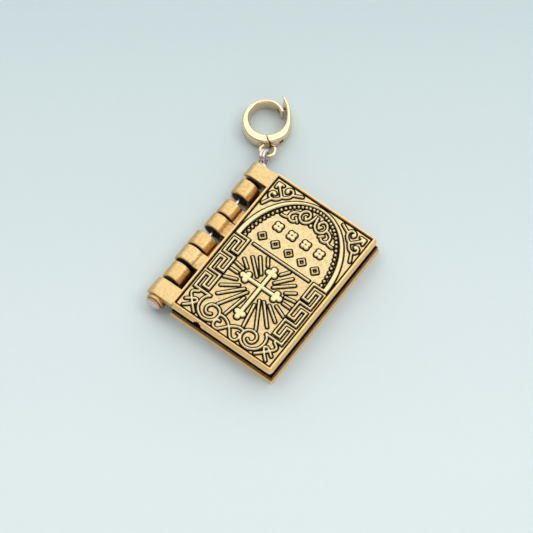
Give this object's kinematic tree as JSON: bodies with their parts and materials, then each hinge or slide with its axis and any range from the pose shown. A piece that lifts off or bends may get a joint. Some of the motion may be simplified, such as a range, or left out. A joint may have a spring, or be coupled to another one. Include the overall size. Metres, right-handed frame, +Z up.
{
  "type": "book locket charm",
  "caption": "Small hinged metal book charm with a raised ornament on its front cover, one inner page and a ring clasp on its hinge pin.",
  "frame": {"origin": "bottom centre of the bounding box, on the surface that the closed book lies on", "axes": "+Z up out of the front cover, +Y along the spine towards the clasp, +X from the spine to the fore edge"},
  "size_m": [0.033, 0.0444, 0.0045],
  "materials": {
    "antique_gold": "antiqued satin gold plating over cast zinc alloy",
    "pale_gold": "polished pale gold plating",
    "pin_wire": "plated steel wire, slightly pink"
  },
  "bodies": {
    "back": {"back_cover": "antique_gold", "hinge_pin": "pin_wire", "clasp_ring": "pale_gold", "clasp_rivet": "pale_gold"},
    "front": {"front_cover": "antique_gold"},
    "leaf": {"inner_leaf": "antique_gold"},
    "lever": {"clasp_lever": "pale_gold"}
  },
  "joints": [
    {"name": "cover_hinge", "type": "hinge", "parent": "back", "child": "front", "pos_m": [-0.00724, -0.005, 0.00228], "axis": [0, -1, 0], "range_deg": [0, 180]},
    {"name": "leaf_hinge", "type": "hinge", "parent": "back", "child": "leaf", "pos_m": [-0.00724, -0.005, 0.00228], "axis": [0, -1, 0], "range_deg": [0, 90]},
    {"name": "lever_hinge", "type": "hinge", "parent": "back", "child": "lever", "pos_m": [-0.00931, 0.01537, 0.00134], "axis": [0, 0, -1], "range_deg": [-4, 45]}
  ],
  "couplings": [
    {"joint": "leaf_hinge", "follows": "cover_hinge", "ratio": 0.5}
  ]
}
